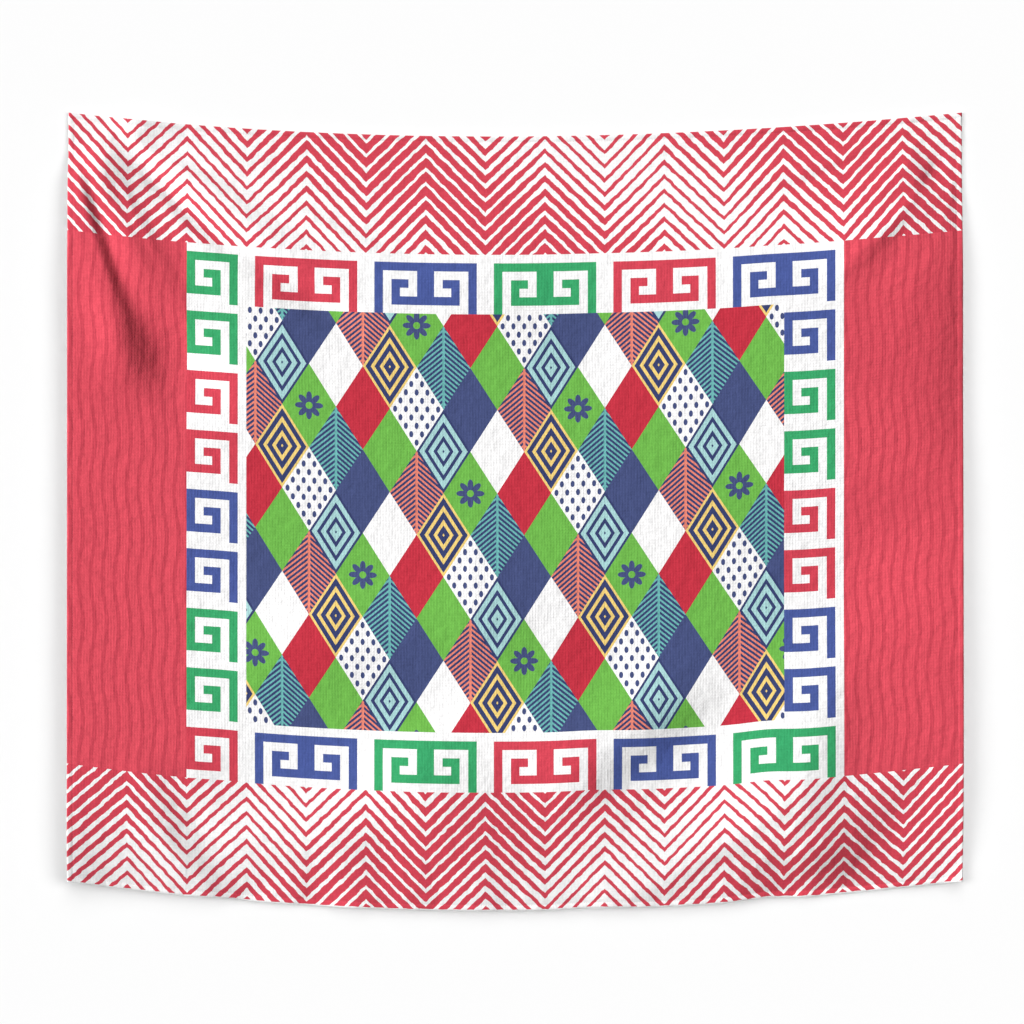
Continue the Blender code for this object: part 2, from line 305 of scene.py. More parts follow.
class TapestryStitchLook(bpy.types.PropertyGroup):
    """Sizes and colour of the stitches in the hem."""

    pitch: length("Pitch", "Distance from stitch to stitch", 0.004)
    stitch: length("Stitch length", "Length of one visible stitch", 0.0028)
    thread: length("Thread", "Thickness of the thread", 0.0004)
    dye: colour("Thread colour", "Red thread that matches the print's red", "#C9606E")


class TapestryStageLook(bpy.types.PropertyGroup):
    """The wall, the floor, the lamps and the camera."""

    wall_gap: length("Wall gap", "Space between the back of the cloth and the wall", 0.004)
    floor_height: length("Floor height", "Height of the floor", -1.9)
    frame_width: length("Frame width", "Width that the picture covers at the cloth", 1.716)
    distance: length("Camera distance", "How far the camera stands off", 8.0)
    aim_x: length("Aim across", "Middle of the picture across the cloth", -0.0054)
    aim_z: length("Aim height", "Height of the middle of the picture", -0.6293)
    key: strength("Key lamp", "Strength of the lamp on the cloth", 6.4)
    wash: strength("Wall lamps", "Strength of each lamp on the wall", 1.35)
    fill: strength("Fill", "Strength of the even light from all sides", 0.18)
    back: strength("Back lamp", "Strength of the lamp behind the cloth", 1.8)


PROPERTY_GROUPS = {
    "tapestry_panel": TapestryPanelSizes,
    "tapestry_print": TapestryPrintLook,
    "tapestry_stitch": TapestryStitchLook,
    "tapestry_stage": TapestryStageLook,
}


# How the cloth hangs


def ease(share):
    """Smooth step from 0 to 1 while share goes from 0 to 1."""
    share = np.clip(share, 0.0, 1.0)
    return share * share * (3.0 - 2.0 * share)


def bell(away, width):
    """A rounded rise: 1 where away is 0, and about a third of that where away is width."""
    return np.exp(-((away / width) ** 2))


def sag(panel, x):
    """Share of the full sag at x: 0 at the two sides and about 1 in the middle."""
    side = x / (panel.hung_width / 2)
    return (1.0 - side * side) * (1.0 - SAG_LEAN * side)


def top_edge(panel, x):
    """Height of the top edge at x."""
    return panel.top_sag * (1.0 - sag(panel, x))


def bottom_edge(panel, x):
    """Height of the bottom edge at x, with the places where folds draw it up."""
    height = panel.top_sag - panel.side_drop - panel.bottom_sag * sag(panel, x)
    for lift in LIFTS:
        height = height + lift.rise * bell(x - lift.x, lift.width)
    return height


def fold_height(fold, x, z):
    """How far one fold stands towards the viewer at each point."""
    run_x = fold.x1 - fold.x0
    run_z = fold.z1 - fold.z0
    run = math.hypot(run_x, run_z)
    along = ((x - fold.x0) * run_x + (z - fold.z0) * run_z) / run**2
    across = ((z - fold.z0) * run_x - (x - fold.x0) * run_z) / run
    share = np.clip(along, 0.0, 1.0)
    across = across - 4.0 * fold.bow * share * (1.0 - share)
    width = fold.width0 + (fold.width1 - fold.width0) * share
    width = width * (1.0 + fold.lean * np.sign(across))
    swell = ease(along / fold.rise) * ease((1.0 - along) / fold.fade)
    return fold.height * swell * bell(across, width)


def ripple_height(panel, ripple, x, z):
    """How far one ripple stands towards the viewer, most at the bottom edge."""
    above = z - bottom_edge(panel, x)
    swell = ease(1.0 - above / ripple.reach)
    return ripple.height * swell * bell(x - ripple.x, ripple.width)


def corner_hold(panel, x, z):
    """0 where a top corner is pressed to the wall, 1 away from both."""
    hold = 1.0
    for side in (-1, 1):
        away = np.hypot(x - side * panel.hung_width / 2, z - panel.top_sag)
        hold = hold * ease((away - CORNER_FLAT) / CORNER_BLEND)
    return hold


def relief(panel, x, z):
    """How far the cloth stands off the wall at each point, never less than nothing."""
    height = BELLY * ease((top_edge(panel, x) - z) / BELLY_RISE)
    turning = np.clip(1.0 - (z - bottom_edge(panel, x)) / BOTTOM_REACH, 0.0, 1.0)
    height = height - BOTTOM_TURN * turning**2
    for fold in FOLDS:
        height = height + fold_height(fold, x, z)
    for ripple in RIPPLES:
        height = height + ripple_height(panel, ripple, x, z)
    height = 0.5 * (height + np.sqrt(height**2 + SOFT_FLOOR**2))
    return height * corner_hold(panel, x, z)


def pucker_height(panel, x, z, from_side, from_end):
    """Small waves along the edges, which die away into the cloth."""
    height = 0.0
    for along, away in ((x, from_end), (z, from_side)):
        fade = ease(1.0 - away / PUCKER_REACH)
        for pucker in PUCKERS:
            turn = 2.0 * math.pi * along / pucker.length + pucker.start
            height = height + pucker.height * fade * np.sin(turn)
    return height * corner_hold(panel, x, z)


# The sheet with its turned hem


Lines = namedtuple("Lines", "run spot turn seam turned_seam")


def grid_lines(panel, span, stretches):
    """Grid lines along one side of the sheet, from one raw edge round its fold to the other.

    run is the distance along the cloth from the fold, spot the place across the hung panel, and turn
    how far the cloth is turned round its fold, from 0 on the front to pi on the back. seam and
    turned_seam say which lines the stitches follow on the front and on the turned strip.
    """
    bend = panel.bend
    turned = np.array(TURNED_LINES + (panel.hem,))[::-1]
    angles = np.linspace(math.pi, 0.0, BEND_CELLS + 1)[:-1]
    start_run = np.concatenate([bend * (2.0 - math.pi) - turned, bend * (1.0 - angles)])
    start_spot = np.concatenate([turned, bend * (1.0 - np.sin(angles))])
    start_turn = np.concatenate([np.full(len(turned), math.pi), angles])
    front = [bend]
    for end, cells in HEM_START + stretches + HEM_END + ((-bend, HEM_CELLS),):
        end = end if end > 0 else span + end
        step = (end - front[-1]) / cells
        front += [front[-1] + step * (count + 1) for count in range(cells)]
    front = np.array(front)
    run = np.concatenate([start_run, front, span - start_run[::-1]])
    spot = np.concatenate([start_spot, front, span - start_spot[::-1]])
    turn = np.concatenate([start_turn, np.zeros(len(front)), start_turn[::-1]])
    on_seam = np.isclose(np.minimum(spot, span - spot), SEAM, atol=SEAM_SIDE / 4)
    seam = np.flatnonzero(on_seam & (turn == 0.0))
    turned_seam = np.flatnonzero(on_seam & (turn > 0.0))
    return Lines(run, spot, turn, seam, turned_seam)


def sheet_spots(panel, across, down):
    """The place of each crossing of the grid lines, rows from the top and columns from the left."""
    from_left = across.spot[None, :]
    from_top = down.spot[:, None]
    from_side = np.minimum(from_left, panel.hung_width - from_left)
    from_end = np.minimum(from_top, panel.side_drop - from_top)
    x = from_left - panel.hung_width / 2
    top = top_edge(panel, x)
    z = top + (bottom_edge(panel, x) - top) * from_top / panel.side_drop

    # The top and bottom hems turn first, and the side hems turn over them at the corners.
    bend = panel.bend
    end_depth = bend * (1.0 - np.cos(down.turn[:, None]))
    corner = ease((panel.hem + CORNER_RELEASE - from_end) / CORNER_RELEASE)
    middle = bend * (1.0 + 2.0 * corner)
    depth = middle - (middle - end_depth) * np.cos(across.turn[None, :])

    # The stitches draw the seam in and pinch its layers together, and the hem outside stays full.
    from_edge = np.minimum(from_side, from_end)
    layer = np.clip(1.0 - depth / bend, -1.0, 1.0)
    proud = relief(panel, x, z) + pucker_height(panel, x, z, from_side, from_end)
    proud = proud + FULLNESS * np.sin(math.pi * np.clip(from_edge / SEAM, 0.0, 1.0))
    inside = ease(from_edge / SEAM)
    for away, drawn in ((from_end, DRAWN_END), (from_side, DRAWN_SIDE)):
        proud = proud - drawn * inside * bell(away - SEAM, DRAWN_WIDTH)
    pinch = PINCH_DEPTH * bell(from_edge - SEAM, DRAWN_WIDTH)
    proud = proud - pinch * layer
    y = depth - panel.front - proud
    return np.stack(np.broadcast_arrays(x, y, z), axis=2)


def plain_grid(columns, rows):
    """A flat grid from Blender's primitive, with the column and row of each of its points."""
    bpy.ops.object.select_all(action="DESELECT")
    bpy.ops.mesh.primitive_grid_add(
        x_subdivisions=columns - 1, y_subdivisions=rows - 1, size=GRID_SIZE, calc_uvs=False
    )
    grid = bpy.context.object
    spots = np.empty(len(grid.data.vertices) * 3)
    grid.data.vertices.foreach_get("co", spots)
    spots = spots.reshape(-1, 3)
    column = np.rint((0.5 + spots[:, 0] / GRID_SIZE) * (columns - 1)).astype(int)
    row = np.rint((0.5 - spots[:, 1] / GRID_SIZE) * (rows - 1)).astype(int)
    return grid, column, row


def lay_out_cloth(cloth, panel, run_x, run_z):
    """UV maps: "cloth", in metres of flat cloth, and "OFBake", which has the front at one scale."""
    mesh = cloth.data
    points = len(run_x)
    flat_x = run_x * panel.flat_width / panel.hung_width
    flat_z = (1.0 - run_z / panel.side_drop) * panel.flat_height
    corner = np.empty(len(mesh.loops), dtype=np.int32)
    mesh.loops.foreach_get("vertex_index", corner)
    front_point = corner % points
    sizes = np.empty(len(mesh.polygons), dtype=np.int32)
    mesh.polygons.foreach_get("loop_total", sizes)
    inner = np.add.reduceat(corner >= points, np.cumsum(sizes) - sizes)

    # 0 at a face of the front, 1 at one of the back, and 2 at one of the cut edges between them
    side = np.repeat(np.where(inner == 0, 0, np.where(inner == sizes, 1, 2)), sizes)

    cloth_map = np.stack([flat_x[front_point], flat_z[front_point]], axis=1)
    scale = 1.0 / (panel.flat_width + 2.0 * MAP_MARGIN)
    wide = (cloth_map[:, 0] + MAP_MARGIN) * scale
    tall = 1.0 - (panel.flat_height + MAP_MARGIN - cloth_map[:, 1]) * scale
    low = 1.0 - (panel.flat_height + 2.0 * MAP_MARGIN) * scale
    back_tall = (tall - low) / (1.0 - low) * (low - 2.0 * MAP_GAP) + MAP_GAP
    cut_wide = 0.5 + (wide - 0.5) * np.where(corner >= points, CUT_SPREAD, 1.0)
    bake_x = np.where(side == 2, cut_wide, wide)
    bake_z = np.where(side == 1, back_tall, tall)
    bake_map = np.stack([bake_x, bake_z], axis=1)
    for name, spots in (("cloth", cloth_map), ("OFBake", bake_map)):
        layer = mesh.uv_layers.new(name=name)
        layer.data.foreach_set("uv", spots.ravel())


def weave_sheet(panel, front, back):
    """The cloth with its folds and turned hem, and the two paths that its stitches follow.

    front and back are the materials of its two sides. The cloth has both before it gets its
    thickness, since the back's faces take the second one only then.
    """
    across = grid_lines(panel, panel.hung_width, COLUMNS)
    down = grid_lines(panel, panel.side_drop, ROWS)
    spots = sheet_spots(panel, across, down)
    cloth, column, row = plain_grid(len(across.spot), len(down.spot))
    cloth.name = "tapestry_cloth"
    cloth.data.name = "tapestry_cloth"
    cloth.data.materials.append(front)
    cloth.data.materials.append(back)
    cloth.data.vertices.foreach_set("co", spots[row, column].ravel())
    split = cloth.modifiers.new("Cells along the folds", "TRIANGULATE")
    split.quad_method = "LONGEST_DIAGONAL"
    solid = cloth.modifiers.new("Cloth thickness", "SOLIDIFY")
    solid.thickness = panel.thickness
    solid.offset = -1.0
    solid.material_offset = 1
    solid.material_offset_rim = 1
    for modifier in list(cloth.modifiers):
        bpy.ops.object.modifier_apply(modifier=modifier.name)
    lay_out_cloth(cloth, panel, across.run[column], down.run[row])
    cloth.data.shade_smooth()
    return cloth, seam_paths(spots, across, down)


def seam_paths(spots, across, down):
    """The seam on the front and on the turned strips, each as four runs of points."""
    left, right = across.seam
    top, bottom = down.seam
    paths = []
    for rows, columns in ((down.seam, across.seam), (down.turned_seam, across.turned_seam)):
        paths.append([spots[row, left : right + 1] for row in rows])
        paths[-1] += [spots[top : bottom + 1, column] for column in columns]
    return paths


# Sewing


def one_stitch(stitch):
    """One thread, lying along X, whose two ends go down into the cloth."""
    bpy.ops.object.select_all(action="DESELECT")
    bpy.ops.mesh.primitive_cube_add(size=1.0)
    thread = bpy.context.object
    bpy.ops.object.mode_set(mode="EDIT")
    height = stitch.thread * THREAD_HEIGHT
    bpy.ops.transform.resize(value=(stitch.stitch, stitch.thread, height))
    bpy.ops.mesh.bisect(plane_co=(0.0, 0.0, 0.0), plane_no=(1.0, 0.0, 0.0))
    bpy.ops.object.mode_set(mode="OBJECT")
    for point in thread.data.vertices:
        if abs(point.co.x) > stitch.stitch / 4:
            point.co.z -= height
            point.co.y *= THREAD_TAPER
    return thread


def tile_stitches(thread, places):
    """One mesh with a copy of the stitch in each place, given as a middle and its three directions."""
    points = np.array([point.co for point in thread.data.vertices])
    faces = [tuple(face.vertices) for face in thread.data.polygons]
    spots = []
    rows = []
    for count, (middle, axes) in enumerate(places):
        spots.append(points @ axes + middle)
        rows += [tuple(corner + count * len(points) for corner in face) for face in faces]
    thread.data.clear_geometry()
    thread.data.from_pydata(np.concatenate(spots).tolist(), [], rows)
    return thread


def stitch_places(stitch, path, outward):
    """Where the stitches of one seam lie, a pitch apart along each of its runs."""
    places = []
    for run in path:
        steps = np.linalg.norm(np.diff(run, axis=0), axis=1)
        along = np.concatenate([[0.0], np.cumsum(steps)])
        count = int(along[-1] / stitch.pitch)
        middles = (np.arange(count) + 0.5) * along[-1] / count
        for middle in middles:
            ends = [
                np.array([np.interp(middle + half, along, run[:, axis]) for axis in range(3)])
                for half in (-stitch.stitch / 2, stitch.stitch / 2)
            ]
            forward = ends[1] - ends[0]
            forward = forward / np.linalg.norm(forward)
            side = np.cross(outward, forward)
            side = side / np.linalg.norm(side)
            up = np.cross(forward, side)
            places.append(((ends[0] + ends[1]) / 2, np.stack([forward, side, up])))
    return places


def sew(stitch, paths):
    """All stitches of the hem, on its front and on its back, as one mesh."""
    places = stitch_places(stitch, paths[0], (0.0, -1.0, 0.0))
    places += stitch_places(stitch, paths[1], (0.0, 1.0, 0.0))
    stitches = tile_stitches(one_stitch(stitch), places)
    stitches.name = "hem_stitches"
    stitches.data.name = "hem_stitches"
    stitches.data.shade_smooth()
    return stitches


# Materials


# Kinds of node that are used often. A pair also names a setting, which each use then gives.
AXES = "ShaderNodeSeparateXYZ"
RAMP = "ShaderNodeValToRGB"
RANGE = "ShaderNodeMapRange"
GROUP = ("ShaderNodeGroup", "node_tree")
MATH = ("ShaderNodeMath", "operation")
VECTOR = ("ShaderNodeVectorMath", "operation")
MIX = ("ShaderNodeMix", "data_type")
NOISE = ("ShaderNodeTexNoise", "noise_dimensions")
WAVE = ("ShaderNodeTexWave", "bands_direction")


def add_node(tree, kind, *values, shades=(), **named):
    """Add a node with its settings, and feed its inputs from nodes, sockets or plain values.

    Where kind is a pair, the first value is that of its setting. The others go to the inputs in
    their order, and named gives more settings and inputs by name. shades are the colours of a
    ramp, in even steps.
    """
    if isinstance(kind, tuple):
        kind, setting = kind
        named[setting], *values = values
    node = tree.nodes.new(kind)
    for name in [name for name in named if hasattr(node, name)]:
        setattr(node, name, named.pop(name))
    if shades:
        ramp = node.color_ramp
        ramp.interpolation = "CONSTANT"
        while len(ramp.elements) < len(shades):
            ramp.elements.new(1.0)
        for count, shade in enumerate(shades):
            ramp.elements[count].position = count / len(shades)
            ramp.elements[count].color = shade
    feeds = list(zip([socket for socket in node.inputs if socket.enabled], values))
    feeds += [(node.inputs[name], value) for name, value in named.items()]
    for socket, value in feeds:
        if isinstance(value, bpy.types.Node):
            value = next(outlet for outlet in value.outputs if outlet.enabled)
        if isinstance(value, bpy.types.NodeSocket):
            tree.links.new(value, socket)
        else:
            socket.default_value = value
    return node


def new_motif(name):
    """Start the node group of one motif, with what adds nodes to it and its place on flat cloth."""
    group = bpy.data.node_groups.new(name, "ShaderNodeTree")
    group.interface.new_socket("Place", in_out="INPUT", socket_type="NodeSocketVector")
    group.interface.new_socket("Colour", in_out="OUTPUT", socket_type="NodeSocketColor")
    add = partial(add_node, group)
    return group, add, add("NodeGroupInput").outputs["Place"]


def bands(add, level, share):
    """1 over this share of each whole step of level, and 0 over the rest."""
    part = add(MATH, "FRACT", level)
    return add(MATH, "LESS_THAN", part, share)


# Below, a NOISE is its cells to the metre and its detail, and a RANGE is the two values that go in
# and the two that come out.

# The stripes' edges wander by noise. Their width is a share of the distance between them, and
# swings in waves across and up the cloth, in radians to the metre.
STRIPE_NOISE = (70.0, 2.0)
STRIPE_WANDER = 0.006
STRIPE_WIDTH = 0.52
STRIPE_SWING = 0.20
SWING_ACROSS = 8.4
SWING_UP = 14.0
SWING_START = 1.1


def chevron_motif(look, panel):
    """Chevron stripes of uneven width, red on white, mirrored about the middle of the cloth."""
    group, add, place = new_motif("chevron stripes")
    axes = add(AXES, place)
    across = axes.outputs["X"]
    up = add(MATH, "SUBTRACT", axes.outputs["Y"], panel.flat_height / 2)
    up = add(MATH, "ABSOLUTE", up)
    zigzag = add(MATH, "PINGPONG", across, look.zigzag)
    level = add(MATH, "ADD", up, zigzag)
    uneven = add(NOISE, "2D", place, *STRIPE_NOISE)
    level = add(MATH, "MULTIPLY_ADD", uneven, STRIPE_WANDER, level)
    level = add(MATH, "DIVIDE", level, look.stripe)
    swing = add(MATH, "MULTIPLY_ADD", across, SWING_ACROSS, SWING_START)
    swing = add(MATH, "MULTIPLY_ADD", up, SWING_UP, swing)
    swing = add(MATH, "SINE", swing)
    width = add(MATH, "MULTIPLY_ADD", swing, STRIPE_SWING, STRIPE_WIDTH)
    dyed = bands(add, level, width)
    shade = add(MIX, "RGBA", dyed, look.white, look.deep_red)
    add("NodeGroupOutput", shade)
    return group


# The lines sway with a wave of 160 mm, and noise makes their width and the deeper patches uneven.
LINE_WAVE = 39.3
LINE_WANDER = 0.004
LINE_NOISE = (90.0, 2.0)
LINE_WIDTH = 0.20
LINE_SWING = 0.24
PATCH_NOISE = (5.0, 1.0)
PATCH_RANGE = (0.40, 0.70, 0.0, 0.45)


def pinstripe_motif(look):
    """Fine wavy lines in a darker red on red, with broad deeper patches."""
    group, add, place = new_motif("wavy pinstripes")
    axes = add(AXES, place)
    wave = add(MATH, "MULTIPLY", axes.outputs["Y"], LINE_WAVE)
    wave = add(MATH, "SINE", wave)
    level = add(MATH, "MULTIPLY_ADD", wave, LINE_WANDER, axes.outputs["X"])
    level = add(MATH, "DIVIDE", level, look.pinstripe)
    uneven = add(NOISE, "2D", place, *LINE_NOISE)
    width = add(MATH, "MULTIPLY_ADD", uneven, LINE_SWING, LINE_WIDTH)
    line = bands(add, level, width)
    shade = add(MIX, "RGBA", line, look.light_red, look.mid_red)
    patch = add(NOISE, "2D", place, *PATCH_NOISE)
    patch = add(RANGE, patch, *PATCH_RANGE)
    shade = add(MIX, "RGBA", patch, shade, look.mid_red)
    add("NodeGroupOutput", shade)
    return group


# Strokes and gaps across one key of the fret
STROKES = 7.0


def key_motif(look):
    """Key fret on white: one squared spiral to a key, mirrored from each key to the next."""
    group, add, place = new_motif("key fret")
    start = (1.0 - STROKES) / 2
    axes = add(AXES, place)
    x = add(MATH, "PINGPONG", axes.outputs["X"], look.fret)
    x = add(MATH, "MULTIPLY_ADD", x, STROKES / look.fret, start)
    y = add(MATH, "DIVIDE", axes.outputs["Y"], look.fret)
    y = add(MATH, "FRACT", y)
    y = add(MATH, "MULTIPLY_ADD", y, STROKES, start)

    # Square rings, whose lower half is shifted by one stroke, so that they join as a spiral
    below = add(MATH, "LESS_THAN", y, 0.0)
    x = add(MATH, "ADD", x, below)
    x = add(MATH, "ABSOLUTE", x)
    y = add(MATH, "ABSOLUTE", y)
    ring = add(MATH, "MAXIMUM", x, y)
    ring = add(MATH, "FLOOR", ring)
    ring = add(MATH, "ADD", ring, below)
    ring = add(MATH, "MODULO", ring, 2.0)
    dyed = add(MATH, "LESS_THAN", ring, 0.5)

    # Each block of two by two keys takes the next dye
    dyes = (look.deep_red, look.blue, look.emerald)
    block = add(VECTOR, "SCALE", place, Scale=0.5 / look.fret)
    block = add(VECTOR, "ADD", block, (0.5, 0.5, 0.0))
    block = add(VECTOR, "FLOOR", block)
    block = add(VECTOR, "DOT_PRODUCT", block, (1.0, 2.0, 0.0))
    block = add(MATH, "FLOORED_MODULO", block, len(dyes))
    block = add(MATH, "MULTIPLY_ADD", block, 1.0 / len(dyes), 0.5 / len(dyes))
    dye = add(RAMP, block, shades=dyes)
    shade = add(MIX, "RGBA", dyed, look.white, dye)
    add("NodeGroupOutput", shade)
    return group


# Each kind of diamond: its ground, the colour of its figure, and which figure that is.
# A figure is given as shares of herringbone, nested diamonds, spots and rosette.
Diamond = namedtuple("Diamond", "ground figure motif")
PLAIN = (0.0, 0.0, 0.0, 0.0)
HERRINGBONE = (1.0, 0.0, 0.0, 0.0)
NESTED = (0.0, 1.0, 0.0, 0.0)
SPOTS = (0.0, 0.0, 1.0, 0.0)
ROSETTE = (0.0, 0.0, 0.0, 1.0)
DIAMONDS = (
    Diamond("navy", "navy", PLAIN),
    Diamond("leaf_green", "leaf_green", PLAIN),
    Diamond("white", "navy", SPOTS),
    Diamond("deep_navy", "mid_teal", HERRINGBONE),
    Diamond("crimson", "crimson", PLAIN),
    Diamond("deep_navy", "yellow", NESTED),
    Diamond("leaf_green", "navy", ROSETTE),
    Diamond("white", "white", PLAIN),
    Diamond("deep_navy", "coral", HERRINGBONE),
    Diamond("pale_teal", "deep_navy", NESTED),
)

# The diamonds' figures: counts, slant and start, and widths as shares of what is counted. The half
# width of the spine and the radii of the rosette are shares of the diamond's width.
RIBS = 16.0
RIB_SLANT = 8.5
RIB_WIDTH = 0.46
SPINE = 0.022
NESTS = 6.0
NEST_START = 0.3
NEST_WIDTH = 0.42
SPOT_CELLS = 5.0
SPOT_RADIUS = 0.27
PETALS = 8.0
PETAL_ROOT = 0.13
PETAL_REACH = 0.13
EYE_RADIUS = 0.065


def diamond_motif(look):
    """Diamonds in the print's colours, some with a figure of fine lines or spots."""
    group, add, place = new_motif("diamonds")
    scale = (1.0 / look.diamond_width, 1.0 / look.diamond_height, 0.0)
    rising = add(VECTOR, "DOT_PRODUCT", place, scale)
    scale = (1.0 / look.diamond_width, -1.0 / look.diamond_height, 0.0)
    falling = add(VECTOR, "DOT_PRODUCT", place, scale)
    skew = add("ShaderNodeCombineXYZ", rising, falling)
    cell = add(VECTOR, "FLOOR", skew)
    inside = add(VECTOR, "FRACTION", skew)
    kinds = len(DIAMONDS)
    index = add(VECTOR, "DOT_PRODUCT", cell, (1.0, 7.0, 0.0))
    index = add(MATH, "FLOORED_MODULO", index, kinds)
    index = add(MATH, "MULTIPLY_ADD", index, 1.0 / kinds, 0.5 / kinds)

    # Place in the diamond from its middle, from -0.5 to 0.5 both across and up
    across = add(VECTOR, "DOT_PRODUCT", inside, (0.5, 0.5, 0.0))
    across = add(MATH, "SUBTRACT", across, 0.5)
    up = add(VECTOR, "DOT_PRODUCT", inside, (0.5, -0.5, 0.0))
    side = add(MATH, "ABSOLUTE", across)
    rise = add(MATH, "ABSOLUTE", up)

    rib = add(MATH, "MULTIPLY", side, RIB_SLANT)
    rib = add(MATH, "MULTIPLY_ADD", up, RIBS, rib)
    rib = bands(add, rib, RIB_WIDTH)
    spine = add(MATH, "LESS_THAN", side, SPINE)
    rib = add(MATH, "MAXIMUM", rib, spine)

    nest = add(MATH, "ADD", side, rise)
    nest = add(MATH, "MULTIPLY_ADD", nest, NESTS, NEST_START)
    nest = bands(add, nest, NEST_WIDTH)

    spot = add(VECTOR, "SCALE", inside, Scale=SPOT_CELLS)
    spot = add(VECTOR, "FRACTION", spot)
    spot = add(VECTOR, "SUBTRACT", spot, (0.5, 0.5, 0.0))
    spot = add(VECTOR, "LENGTH", spot)
    spot = add(MATH, "LESS_THAN", spot, SPOT_RADIUS)

    # The rosette is round on the cloth, so its place is in units of the diamond's width.
    high = add(MATH, "MULTIPLY", up, look.diamond_height / look.diamond_width)
    petal = add(MATH, "ARCTAN2", high, across)
    petal = add(MATH, "MULTIPLY", petal, PETALS / 2)
    petal = add(MATH, "COSINE", petal)
    petal = add(MATH, "ABSOLUTE", petal)
    petal = add(MATH, "MULTIPLY_ADD", petal, PETAL_REACH, PETAL_ROOT)
    middle = add("ShaderNodeCombineXYZ", across, high)
    middle = add(VECTOR, "LENGTH", middle)
    petal = add(MATH, "LESS_THAN", middle, petal)
    eye = add(MATH, "GREATER_THAN", middle, EYE_RADIUS)
    petal = add(MATH, "MULTIPLY", petal, eye)

    masks = add("ShaderNodeCombineXYZ", rib, nest, spot)
    chosen = add(RAMP, index, shades=[diamond.motif for diamond in DIAMONDS])
    drawn = add(VECTOR, "DOT_PRODUCT", chosen.outputs["Color"], masks)
    drawn = add(MATH, "MULTIPLY_ADD", chosen.outputs["Alpha"], petal, drawn)
    grounds = [getattr(look, diamond.ground) for diamond in DIAMONDS]
    figures = [getattr(look, diamond.figure) for diamond in DIAMONDS]
    ground = add(RAMP, index, shades=grounds)
    figure = add(RAMP, index, shades=figures)
    shade = add(MIX, "RGBA", drawn, ground, figure)
    add("NodeGroupOutput", shade)
    return group


# Noise in the line where the dye stops at the bottom
RIM_NOISE = (60.0, 1.0)


def tapestry_print(look, panel):
    """The whole print: diamonds in a fret frame, red side strips, and chevrons above and below."""
    group, add, place = new_motif("tapestry print")
    middle = (panel.flat_width / 2, panel.flat_height / 2, 0.0)
    away = add(VECTOR, "SUBTRACT", place, middle)
    away = add(VECTOR, "ABSOLUTE", away)
    away = add(AXES, away)
    shade = add(GROUP, pinstripe_motif(look), place)
    chevrons = add(GROUP, chevron_motif(look, panel), place)
    outside = add(MATH, "GREATER_THAN", away.outputs["Y"], middle[1] - look.strip)
    shade = add(MIX, "RGBA", outside, shade, chevrons)
    for build, inset in ((key_motif, look.strip), (diamond_motif, look.strip + look.fret)):
        motif = add(GROUP, build(look), place)
        beside = add(MATH, "LESS_THAN", away.outputs["X"], middle[0] - inset)
        inside = add(MATH, "LESS_THAN", away.outputs["Y"], middle[1] - inset)
        inside = add(MATH, "MULTIPLY", inside, beside)
        shade = add(MIX, "RGBA", inside, shade, motif)

    # The dye stops at the hem's folds, and at the bottom a little before, in an uneven line.
    axes = add(AXES, place)
    edge = add(NOISE, "2D", place, *RIM_NOISE)
    edge = add(MATH, "MULTIPLY_ADD", edge, look.rim, look.rim / 2)
    dyed = add(MATH, "GREATER_THAN", axes.outputs["Y"], edge)
    for outlet, limit in (("X", middle[0]), ("Y", middle[1])):
        within = add(MATH, "LESS_THAN", away.outputs[outlet], limit)
        dyed = add(MATH, "MULTIPLY", dyed, within)
    shade = add(MIX, "RGBA", dyed, look.white, shade)
    add("NodeGroupOutput", shade)
    return group


def start_material(name):
    """A new material that has no nodes yet, and what adds them to it."""
    material = bpy.data.materials.new(name)
    material.use_nodes = True
    material.node_tree.nodes.clear()
    return material, partial(add_node, material.node_tree)


# The real threads are 0.35 mm apart, too fine to show, so the weave is drawn at 5 mm, by a wave of
# this scale and distortion. Slubs, where a thread is thicker, have these cells to the metre along
# and across it. The dimples are about 20 mm wide, where the light cloth isn't quite flat.
THREAD_WAVE = (62.8, 1.2)
SLUB_ALONG = 60.0
SLUB_ACROSS = 420.0
SPECK_NOISE = (260.0, 2.0)
MOTTLE_RANGE = (1.15, 1.85, 0.0, 1.0)
DIMPLE_NOISE = (45.0, 2.0)
GRAIN_RANGE = (0.0, 1.0, 0.93, 1.05)
CLOTH_ROUGH_RANGE = (0.0, 1.0, 0.92, 0.80)


def woven(add, place):
    """Mottle from 0 to 1, and the bump of the weave, of a plain-woven cloth at this place."""
    weft = add(VECTOR, "MULTIPLY", place, (SLUB_ALONG, SLUB_ACROSS, 1.0))
    weft = add(NOISE, "2D", weft, 1.0, 1.0)
    warp = add(VECTOR, "MULTIPLY", place, (SLUB_ACROSS, SLUB_ALONG, 1.0))
    warp = add(NOISE, "2D", warp, 1.0, 1.0)
    slubs = add(MATH, "ADD", weft, warp)
    specks = add(NOISE, "2D", place, *SPECK_NOISE)
    mottle = add(MATH, "ADD", slubs, specks)
    mottle = add(RANGE, mottle, *MOTTLE_RANGE)
    across = add(WAVE, "X", place, *THREAD_WAVE).outputs["Fac"]
    upward = add(WAVE, "Y", place, *THREAD_WAVE).outputs["Fac"]
    threads = add(MATH, "MULTIPLY", across, upward)
    threads = add(MATH, "ADD", slubs, threads)
    dimples = add(NOISE, "2D", place, *DIMPLE_NOISE)
    bump = add("ShaderNodeBump", Strength=0.35, Distance=0.004, Height=dimples)
    bump = add("ShaderNodeBump", Strength=0.25, Distance=0.0008, Height=threads, Normal=bump)
    return mottle, bump


